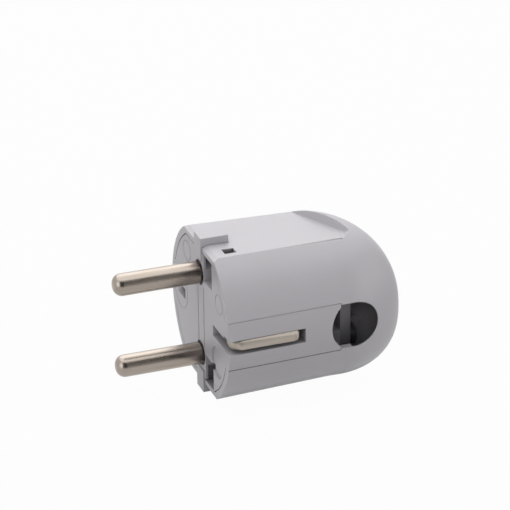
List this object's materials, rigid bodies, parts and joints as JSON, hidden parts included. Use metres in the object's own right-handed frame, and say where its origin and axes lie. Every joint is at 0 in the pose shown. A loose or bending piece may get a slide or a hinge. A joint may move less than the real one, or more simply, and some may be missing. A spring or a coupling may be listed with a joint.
{
  "type": "electrical plug",
  "caption": "Round-pin mains plug with side earth strips, a domed plastic cover over a moulded base, and a side cable outlet.",
  "frame": {"origin": "on the engagement face, midway between the two pins", "axes": "+X from the face to the rear of the body, pins point to -X; pins are spaced along Z; the cable leaves towards -Y"},
  "size_m": [0.0595, 0.0382, 0.036],
  "materials": {
    "cover_plastic": "moulded pale grey ABS, soft gloss",
    "base_plastic": "moulded pale grey ABS, soft gloss",
    "clamp_plastic": "moulded grey polyamide",
    "pin_plating": "nickel plating on turned brass, lightly brushed",
    "strip_plating": "nickel plating on spring brass",
    "bare_brass": "stamped brass",
    "zinc_steel": "zinc-plated steel"
  },
  "bodies": {
    "root": {"cover": "cover_plastic", "base": "base_plastic", "cord_clamp": "clamp_plastic", "pin_upper": "pin_plating", "pin_lower": "pin_plating", "earth_contact_near": "strip_plating", "earth_contact_far": "strip_plating", "earth_bridge": "bare_brass", "bridge_rivets": "bare_brass", "earth_saddle": "zinc_steel", "earth_screw": "zinc_steel", "terminal_screw_upper": "zinc_steel", "terminal_screw_lower": "zinc_steel", "clamp_screw_upper": "zinc_steel", "clamp_screw_lower": "zinc_steel", "clamp_nut_upper": "zinc_steel", "clamp_nut_lower": "zinc_steel"}
  },
  "joints": []
}
